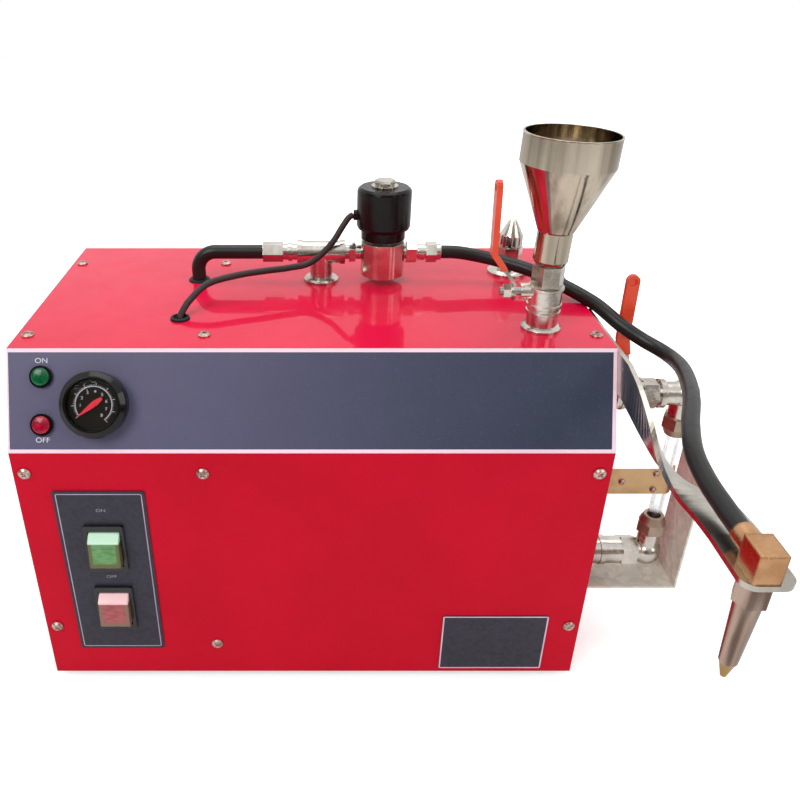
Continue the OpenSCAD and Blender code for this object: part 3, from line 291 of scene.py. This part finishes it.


# A switch cap: a painted highlight along the top, a streaky see-through face, and olive edges where it thins
def capLook(name, middleX, middleZ, face, deep, paintedHighlight, rim):
    look = Look(name)
    x, _, z = look.axes()
    up = z - middleZ * mm
    streak = look.noise(160, 4, (1, 1, 3))
    body = look.mix(streak.ramp(0.35, 0.7), colour(*face), colour(*deep))
    body = look.mix((x - middleX * mm).size().ramp(*capEdges["side"]), body, colour(*rim))
    body = look.mix((-1 * up).ramp(*capEdges["low"]), body, colour(*rim))
    # The pale band along the top is a painted highlight
    tint = look.mix(up.ramp(*capEdges["top"]), body, colour(*paintedHighlight))
    look.put(Base_Color=tint, Roughness=0.16 + 0.12 * look.noise(300, 3), Coat_Weight=0.5,
             Coat_Roughness=0.06, Subsurface_Weight=0.12, Subsurface_Radius=(0.004, 0.004, 0.004),
             Specular_IOR_Level=0.3, Emission_Color=tint, Emission_Strength=0.04)
    return look.relief(0.0014, streak, 0.05, 0.0001)


# The nozzle: plated, with a bare brass tip below tipTop
def nozzleLook():
    tipTop = 0.2056
    look = Look("nozzleMetal")
    tip = (tipTop - look.axes()[2]).ramp(0.0, 0.0008)
    rings = look.noise(90, 4, (1, 1, 0.12))
    shades = look.noise(70, 3, (1, 1, 0.1)).ramp(0.4, 0.6)
    plated = look.mix(shades, colour(184, 162, 146), colour(104, 86, 76))
    brass = look.mix(look.noise(200, 3), colour(186, 150, 92), colour(140, 108, 58))
    look.put(Base_Color=look.mix(tip, plated, brass), Metallic=1.0, Roughness=0.2 + 0.14 * rings)
    return look.relief(0.0004, rings, 0.08, 0.0001)


# A lever's strap: bare at the stem, and dipped in the colour of its sleeve further up
def leverLook():
    fillDip, sideDip, sideFrom = 0.345, 0.27, 0.21
    look = Look("leverStrap")
    x, _, z = look.axes()
    dipped = (z > fillDip).most((z > sideDip) * (x > sideFrom))
    worn = look.noise(80, 4)
    bare = look.mix(worn.ramp(0.35, 0.75), colour(196, 188, 178), colour(150, 140, 130))
    look.put(Base_Color=look.mix(dipped, bare, colour(226, 72, 38)), Metallic=1 - dipped,
             Roughness=0.24 + 0.2 * worn)
    return look.relief(0.0004, worn, 0.08, 0.0001)


# The middles of the two switch caps, in millimetres
switches = {"x": -145, "steamZ": 132, "heatZ": 76.5}

looks = {
    "red": redPaint(),
    "band": bandFilm(),
    "plate": plateFilm(),
    "tray": metal("trayMetal", (160, 160, 158), (130, 130, 128), rough=0.4),
    "plated": metal("plated", (222, 216, 206), (176, 168, 156), rough=0.1, smudge=0.18),
    "cast": metal("castPlated", (214, 208, 198), (160, 152, 142), rough=0.16, smudge=0.2, grain=600,
                  strength=0.25),
    "polished": metal("polished", (200, 188, 168), (124, 113, 98), rough=0.08, smudge=0.1, grain=500,
                      strength=0.03, patch=(2.6, 2.6, 0.05)),
    "zinc": metal("zincScrew", (216, 186, 176), (122, 98, 92), rough=0.26, patch=(9, 9, 9)),
    "bar": metal("armSteel", (202, 196, 186), (150, 144, 134), rough=0.2, smudge=0.05, edge=0,
                 strength=0.01),
    "brassBlock": metal("brassBlock", (208, 164, 122), (168, 120, 80), rough=0.2, grain=700,
                        stroke=(1, 6, 1), edge=0.0024, strength=0.06),
    "brassStrap": metal("brassStrap", (198, 162, 120), (154, 122, 86), rough=0.3, stroke=(0.6, 1, 8)),
    "steel": metal("plainSteel", (180, 180, 180), (140, 140, 140), rough=0.3),
    "nuts": metal("nutPlate", (178, 160, 142), (132, 116, 102), rough=0.42, smudge=0.2),
    "nozzle": nozzleLook(),
    "lever": leverLook(),
    "guard": galvanised(),
    "coil": plastic("coilResin", (17, 13, 12), (10, 8, 8), rough=0.22, coat=0.12, strength=0.12, shine=0.16),
    "case": plastic("caseBlack", (10, 9, 9), (6, 5, 5), rough=0.14, coat=0.35, strength=0.03, shine=0.15),
    "frame": plastic("frameBlack", (20, 18, 19), (12, 11, 12), rough=0.2, coat=0.5, strength=0.05,
                     edge=0.0009),
    "dial": plastic("dialFace", (24, 21, 15), (30, 26, 18), rough=0.5, shine=0.1),
    "hose": plastic("hoseRubber", (27, 26, 24), (19, 18, 17), rough=0.36, coat=0.08, grain=700,
                    strength=0.25),
    "sleeve": plastic("sleeveBlack", (34, 30, 28), (22, 20, 19), rough=0.36, coat=0.1, grain=900,
                      strength=0.25),
    "lead": plastic("leadSheath", (56, 42, 42), (38, 28, 28), rough=0.4, strength=0.25),
    "rubber": plastic("footRubber", (26, 25, 25), (16, 16, 16), rough=0.5),
    "grip": plastic("gripVinyl", (236, 80, 44), (214, 60, 30), rough=0.28, coat=0.3, grain=500,
                    strength=0.12),
    "ivory": plastic("terminalIvory", (214, 206, 182), (190, 180, 156), rough=0.5),
    "needle": plastic("needleRed", (226, 46, 62), (198, 30, 46), rough=0.4),
    "ink": plastic("whiteInk", (226, 222, 232), (206, 202, 214), rough=0.5, edge=0),
    "dimInk": plastic("dimInk", (150, 148, 164), (120, 118, 134), rough=0.5, edge=0),
    "lineInk": plastic("lineInk", (186, 170, 190), (160, 144, 166), rough=0.5, edge=0),
    "pinkInk": plastic("pinkInk", (222, 190, 206), (200, 164, 184), rough=0.5, edge=0),
    "lens": clearGlass("gaugeLens", (250, 252, 252), 0.1),
    "glass": clearGlass("gaugeGlass", (225, 240, 238), 0.35),
    "greenLens": lampLens("greenLens", (0, 98, 54), (0, 56, 32), (0, 130, 70)),
    "redLens": lampLens("redLens", (172, 14, 48), (104, 4, 26), (190, 24, 50)),
    # The third colour given to each cap is the painted highlight along its top
    "greenCap": capLook("greenCap", switches["x"], switches["steamZ"], (100, 152, 90), (74, 124, 70),
                        (202, 240, 210), (92, 92, 48)),
    "redCap": capLook("redCap", switches["x"], switches["heatZ"], (168, 82, 82), (136, 58, 60),
                      (246, 198, 200), (128, 98, 80)),
}

# Which CAD nodes wear each look
wears = {
    "red": "side_shell top_panel front_panel",
    "band": "band_panel",
    "plate": "switch_plate data_plate",
    "tray": "base_tray",
    "steel": "boiler_tank heater_element plunger plunger_spring safety_spring plunger_tube pressure_switch"
             " fill_ball side_ball",
    "lever": "fill_lever side_lever",
    "rubber": "rubber_feet grommets",
    "zinc": "panel_screws bracket_screws",
    "ivory": "terminal_block",
    "case": "gauge_case lamp_bezels",
    "frame": "switch_frames",
    "dial": "gauge_dial",
    "lens": "gauge_lens",
    "needle": "gauge_needle",
    "greenLens": "green_lens",
    "redLens": "red_lens",
    "greenCap": "steam_rocker",
    "redCap": "heat_rocker",
    "sleeve": "steam_pipe",
    "cast": "tee fill_valve_body side_valve_body gauge_elbows safety_body panel_flanges",
    "plated": "steam_unions solenoid_body coil_nut hose_fitting fill_nut side_nut",
    "nuts": "gland_nuts",
    "coil": "coil",
    "polished": "funnel",
    "grip": "fill_grip side_grip",
    "glass": "sight_glass",
    "brassStrap": "glass_strap safety_poppet",
    "brassBlock": "brass_block",
    "guard": "glass_guard",
    "bar": "nozzle_arm",
    "nozzle": "nozzle",
}
for look, names in wears.items():
    for name in names.split():
        for holder in nodes[name].material_slots:
            holder.material = looks[look].material
print("materials made")


# Makes a mesh that stands in world coordinates a piece of the machine
def meshPiece(name, shape, look):
    shape.materials.clear()
    shape.materials.append(looks[look].material)
    made = bpy.data.objects.new(name, shape)
    bpy.context.scene.collection.objects.link(made)
    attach(made, "machine")
    return made


# Turns an object's final shape into a plain mesh piece
def settle(made, look):
    bpy.context.view_layer.update()
    shape = bpy.data.meshes.new_from_object(made.evaluated_get(bpy.context.evaluated_depsgraph_get()))
    shape.transform(made.matrix_world)
    name = made.name
    bpy.data.objects.remove(made)
    return meshPiece(name, shape, look)


# A place on the band: x across, down from its upper edge, and lifted off its plane, in millimetres
def onBand(x, down, lift):
    spot = Vector((x, housing["topFront"] - down * slopeRun / slopeLength,
                   housing["topZ"] - down * slopeDrop / slopeLength)) * mm
    tilt = Matrix.Rotation(math.asin(slopeDrop / slopeLength), 4, "X")
    return Matrix.Translation(spot) @ tilt @ Matrix.Translation((0, 0, lift * mm))


# A place on the front panel, lifted off its plane, in millimetres
def onFront(x, z, lift):
    spot = Vector((x, housing["front"], z)) * mm
    upright = Matrix.Rotation(math.pi / 2, 4, "X")
    return Matrix.Translation(spot) @ upright @ Matrix.Translation((0, 0, lift * mm))


lettering = {"sizePerHeight": 1.4, "thickness": 0.00002}


def words(name, text, height, place, look="ink", stretch=1.0):
    data = bpy.data.curves.new(name, "FONT")
    data.body = text
    data.size = height * mm * lettering["sizePerHeight"]
    data.align_x = "CENTER"
    data.align_y = "CENTER"
    data.extrude = lettering["thickness"]
    made = bpy.data.objects.new(name, data)
    bpy.context.scene.collection.objects.link(made)
    made.matrix_world = place @ Matrix.Diagonal((stretch, 1, 1, 1))
    return settle(made, look)


def roundedLoop(width, height, radius, steps=6):
    points = []
    for turn, (sx, sy) in enumerate(((1, 1), (-1, 1), (-1, -1), (1, -1))):
        for step in range(steps + 1):
            angle = (turn + step / steps) * math.pi / 2
            points.append((sx * (width / 2 - radius) + radius * math.cos(angle),
                           sy * (height / 2 - radius) + radius * math.sin(angle)))
    return points


# A printed line of even width round a rounded rectangle on the front
def printedFrame(name, width, height, radius, line, x, z, lift, look):
    leastRadius = 0.2
    outer = roundedLoop(width, height, radius)
    inner = roundedLoop(width - 2 * line, height - 2 * line, max(radius - line, leastRadius))
    count = len(outer)
    shape = bpy.data.meshes.new(name)
    points = [Vector((px * mm, py * mm, 0)) for px, py in outer + inner]
    faces = [(i, (i + 1) % count, count + (i + 1) % count, count + i) for i in range(count)]
    shape.from_pydata([onFront(x, z, lift) @ p for p in points], [], faces)
    return meshPiece(name, shape, look)


# Geometry Nodes: blocks set along an arc round the local Z axis
def arcTree():
    tree = bpy.data.node_groups.new("arcOfBlocks", "GeometryNodeTree")
    sockets = {"Count": "Int", "Radius": "Float", "Start": "Float", "Sweep": "Float", "Block": "Vector",
               "Look": "Material"}
    for name, kind in sockets.items():
        tree.interface.new_socket(name, in_out="INPUT", socket_type="NodeSocket" + kind)
    tree.interface.new_socket("Geometry", in_out="OUTPUT", socket_type="NodeSocketGeometry")
    given = addNode(tree, "NodeGroupInput").outputs
    index = Num(tree, addNode(tree, "GeometryNodeInputIndex").outputs[0])
    last = (Num(tree, given["Count"]) - 1.0).most(1.0)
    angle = Num(tree, given["Start"]) + index / last * Num(tree, given["Sweep"])
    radius = Num(tree, given["Radius"])
    spot = addNode(tree, "ShaderNodeCombineXYZ", values={"X": radius * angle.step("COSINE"),
                                                         "Y": radius * angle.step("SINE")})
    turn = addNode(tree, "ShaderNodeCombineXYZ", values={"Z": angle})
    points = addNode(tree, "GeometryNodePoints", values={"Count": given["Count"],
                                                         "Position": spot.outputs[0]})
    block = addNode(tree, "GeometryNodeMeshCube", values={"Size": given["Block"]})
    copies = addNode(tree, "GeometryNodeInstanceOnPoints", values={
        "Points": points.outputs[0], "Instance": block.outputs[0], "Rotation": turn.outputs[0]})
    real = addNode(tree, "GeometryNodeRealizeInstances", values={"Geometry": copies.outputs[0]})
    dressed = addNode(tree, "GeometryNodeSetMaterial", values={"Geometry": real.outputs[0],
                                                               "Material": given["Look"]})
    addNode(tree, "NodeGroupOutput", values={"Geometry": dressed.outputs[0]})
    return tree


arcs = arcTree()


def arcPiece(name, place, look, slotName, **given):
    made = bpy.data.objects.new(name, bpy.data.meshes.new(name))
    bpy.context.scene.collection.objects.link(made)
    made.matrix_world = place
    modifier = made.modifiers.new("arc", "NODES")
    modifier.node_group = arcs
    given["Look"] = looks[look].material
    for item in arcs.interface.items_tree:
        if item.in_out == "INPUT" and item.name in given:
            modifier[item.identifier] = given[item.name]
    return settle(made, look)


# The smooth way through a cord's points, as in the CAD
def route(points, steps):
    found = []
    last = len(points) - 1
    for i in range(last):
        b, c = Vector(points[i]), Vector(points[i + 1])
        a = 2 * b - c if i == 0 else Vector(points[i - 1])
        d = 2 * c - b if i + 2 > last else Vector(points[i + 2])
        for step in range(steps):
            f = step / steps
            found.append(0.5 * (2 * b + (c - a) * f + (2 * a - 5 * b + 4 * c - d) * f * f
                                + (3 * b - a - 3 * c + d) * f ** 3))
    return found + [Vector(points[last])]


def cordPiece(name, points, radius, look, sides=10, steps=10):
    way = [p * mm for p in route(points, steps)]
    data = bpy.data.curves.new(name, "CURVE")
    data.dimensions = "3D"
    data.bevel_depth = radius * mm
    data.bevel_resolution = sides
    data.use_fill_caps = True
    spline = data.splines.new("POLY")
    spline.points.add(len(way) - 1)
    for spot, p in zip(spline.points, way):
        spot.co = (*p, 1)
    made = bpy.data.objects.new(name, data)
    data.materials.append(looks[look].material)
    bpy.context.scene.collection.objects.link(made)
    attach(made, "machine")
    return made, way


def lengthOf(way):
    return sum((b - a).length for a, b in zip(way, way[1:]))


hose = {"radius": 5, "points": [
    (98.5, 39, 295), (112, 39, 294.5), (128, 36.5, 292.5), (146, 30, 290), (166, 18, 287),
    (186, 2, 281.5), (205.5, -16.5, 274.5), (220, -34, 265.5), (233, -45, 259), (242.5, -56, 256),
    (246, -70, 256), (243.5, -90, 259), (236.5, -116, 262.5), (226, -145, 266), (212.5, -176, 268),
    (202.5, -205, 268.3), (199, -230, 267.5), (198.5, -252, 267), (198.5, -270.5, 266.992)]}
lead = {"radius": 2.4, "points": [
    (30.35, 39, 324), (27, 38, 322.2), (22.5, 35.5, 316.5), (13, 28, 304), (-2, 20, 293), (-18, 14, 291),
    (-36, 7, 291), (-56, -1, 290.5), (-76, -13, 288.5), (-87.5, -27, 281.6), (-92.5, -36, 275.5),
    (-93.5, -38.5, 272)]}

hosePiece, hoseWay = cordPiece("steamHose", hose["points"], hose["radius"], "hose")
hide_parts("steam_hose")
lengthOf(hoseWay)
leadPiece, leadWay = cordPiece("coilLead", lead["points"], lead["radius"], "lead")
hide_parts("coil_lead")
lengthOf(leadWay)
print("cords", round(lengthOf(hoseWay), 3), round(lengthOf(leadWay), 3))


# A copy of a spring's CAD mesh as a plain steel piece of the machine, with the CAD node hidden
def springPiece(name, node):
    shape = nodes[node].data.copy()
    shape.transform(nodes[node].matrix_world)
    made = meshPiece(name, shape, "steel")
    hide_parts(node)
    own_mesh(made)


springPiece("safetyCoilSpring", "safety_spring")
springPiece("plungerCoilSpring", "plunger_spring")
print("springs made")

# The words by the lamps, each with its distance down the band, in millimetres
lampWords = {"x": -177, "lift": 0.05, "height": 3.4, "stretch": 1.15,
             "down": {"wordOn": ("ON", 8.2), "wordOff": ("OFF", 60.4)}}
for name, (text, down) in lampWords["down"].items():
    words(name, text, lampWords["height"], onBand(lampWords["x"], down, lampWords["lift"]),
          stretch=lampWords["stretch"])

# The lines round the plates, and the words over the switches with their heights on the front
printedFrame("plateLine", width=59, height=142, radius=1.5, line=0.7, x=switches["x"], z=107, lift=1.05,
             look="lineInk")
printedFrame("dataLine", width=78.8, height=53.8, radius=1.2, line=1.1, x=136.5, z=39, lift=0.85,
             look="pinkInk")
switchWords = {"lift": 1.06, "height": 2.6, "stretch": 1.2,
               "z": {"switchOn": ("ON", 164), "switchOff": ("OFF", 105)}}
for name, (text, z) in switchWords["z"].items():
    words(name, text, switchWords["height"], onFront(switches["x"], z, switchWords["lift"]), "dimInk",
          switchWords["stretch"])

# The dial's scale, clockwise from the lower left, in millimetres and degrees
gauge = {"x": -141, "down": slopeLength * 0.528, "face": 8.05, "ring": 11.9, "start": 217, "sweep": -270,
         "numbers": 9, "numberRing": 8.6, "numberHeight": 2.0, "ticksPerNumber": 5}
scale = {
    "longTicks": {"count": gauge["numbers"], "out": 1.2, "block": (2.4, 0.34, 0.05)},
    "shortTicks": {"count": gauge["ticksPerNumber"] * (gauge["numbers"] - 1) + 1, "out": 0.6,
                   "block": (1.2, 0.2, 0.05)},
    "scaleLine": {"count": 160, "out": 0, "block": (0.5, 0.5, 0.05)},
}
dialPlace = onBand(gauge["x"], gauge["down"], gauge["face"])
sweep = math.radians(gauge["sweep"])
start = math.radians(gauge["start"])
for name, part in scale.items():
    arcPiece(name, dialPlace, "ink", "dial_face", Count=part["count"],
             Radius=(gauge["ring"] + part["out"]) * mm, Start=start, Sweep=sweep,
             Block=tuple(side * mm for side in part["block"]))
for i in range(gauge["numbers"]):
    angle = start + sweep * i / (gauge["numbers"] - 1)
    spot = Matrix.Translation((gauge["numberRing"] * mm * math.cos(angle),
                               gauge["numberRing"] * mm * math.sin(angle), 0))
    words("number%d" % i, str(i), gauge["numberHeight"], dialPlace @ spot)
print("printing made")

# A pale floor that fades to the white background away from the object
floorFade = {"x": 0.03, "y": -0.05, "inner": 0.1, "outer": 0.5, "near": 0.45, "reach": 4}
floorLook = Look("floorPale")
x, y = floorLook.axes()[:2]
floorRays = floorLook.add("ShaderNodeLightPath").outputs
shown = Num(floorLook.tree, floorRays["Is Camera Ray"]).most(floorRays["Is Transmission Ray"])
fromMiddle = ((x - floorFade["x"]) * (x - floorFade["x"])
              + (y - floorFade["y"]) * (y - floorFade["y"]))
away = fromMiddle.ramp(floorFade["inner"], floorFade["outer"]) * (1 - floorFade["near"]) + floorFade["near"]
glow = floorLook.mix(away * shown, (0, 0, 0, 1), (1, 1, 1, 1))
pale = floorLook.mix(floorLook.noise(2, 2) * 0.05, (0.93, 0.93, 0.93, 1), (0.9, 0.9, 0.9, 1))
floorLook.put(Base_Color=pale, Roughness=0.9, Specular_IOR_Level=0.1, Emission_Color=glow,
              Emission_Strength=1.0)
reach = floorFade["reach"]
floorShape = bpy.data.meshes.new("floor")
floorShape.from_pydata([(-reach, -reach, 0), (reach, -reach, 0), (reach, reach, 0), (-reach, reach, 0)], [],
                       [(0, 1, 2, 3)])
floorShape.materials.append(floorLook.material)
floor = bpy.data.objects.new("floor", floorShape)
bpy.context.scene.collection.objects.link(floor)

# Soft studio lights, in metres and watts
lights = {
    "key": {"place": (-1.1, -1.5, 1.9), "aim": (0, 0, 0.15), "size": (1.2, 1.2), "power": 26},
    "fill": {"place": (1.7, -1.2, 1.2), "aim": (0.1, 0, 0.15), "size": (1.2, 1.0), "power": 10},
    "overhead": {"place": (0.1, 0.5, 2.2), "aim": (0, 0, 0.2), "size": (1.8, 1.2), "power": 16},
}
for name, light in lights.items():
    data = bpy.data.lights.new(name, "AREA")
    data.shape = "RECTANGLE"
    data.size, data.size_y = light["size"]
    data.energy = light["power"]
    made = bpy.data.objects.new(name, data)
    made.location = light["place"]
    made.rotation_mode = "QUATERNION"
    made.rotation_quaternion = (Vector(light["aim"]) - Vector(light["place"])).to_track_quat("-Z", "Y")
    bpy.context.scene.collection.objects.link(made)

# White behind the object; in front of it a dim room with darker patches and a bright ceiling, which
# only the reflections show, and an even pale light for everything matt
world = bpy.data.worlds.new("room")
bpy.context.scene.world = world
world.use_nodes = True
sky = world.node_tree
sky.nodes.clear()
toward = addNode(sky, "ShaderNodeTexCoord").outputs["Generated"]
heading = addNode(sky, "ShaderNodeSeparateXYZ", values={"Vector": toward}).outputs
behind, height = Num(sky, heading["Y"]), Num(sky, heading["Z"])
cloud = addNode(sky, "ShaderNodeTexNoise", values={"Vector": toward, "Scale": 2.6, "Detail": 2.0})
patches = Num(sky, cloud.outputs[0])
rays = addNode(sky, "ShaderNodeLightPath").outputs
room = mixColours(sky, patches.ramp(0.42, 0.6), (0.035, 0.03, 0.028, 1), (0.38, 0.31, 0.25, 1))
room = mixColours(sky, height.ramp(0.4, 0.75), room, (0.95, 0.97, 1.0, 1))
room = mixColours(sky, rays["Is Diffuse Ray"], room, (0.45, 0.45, 0.46, 1))
mirrored = Num(sky, rays["Is Glossy Ray"]).most(rays["Is Transmission Ray"]) * behind.ramp(-0.1, 0.2)
room = mixColours(sky, Num(sky, rays["Is Camera Ray"]).most(mirrored), room, (1, 1, 1, 1))
background = addNode(sky, "ShaderNodeBackground", values={"Color": room, "Strength": 1.0})
addNode(sky, "ShaderNodeOutputWorld", values={"Surface": background.outputs[0]})
bpy.context.scene.view_settings.view_transform = "Standard"
print("stage made")
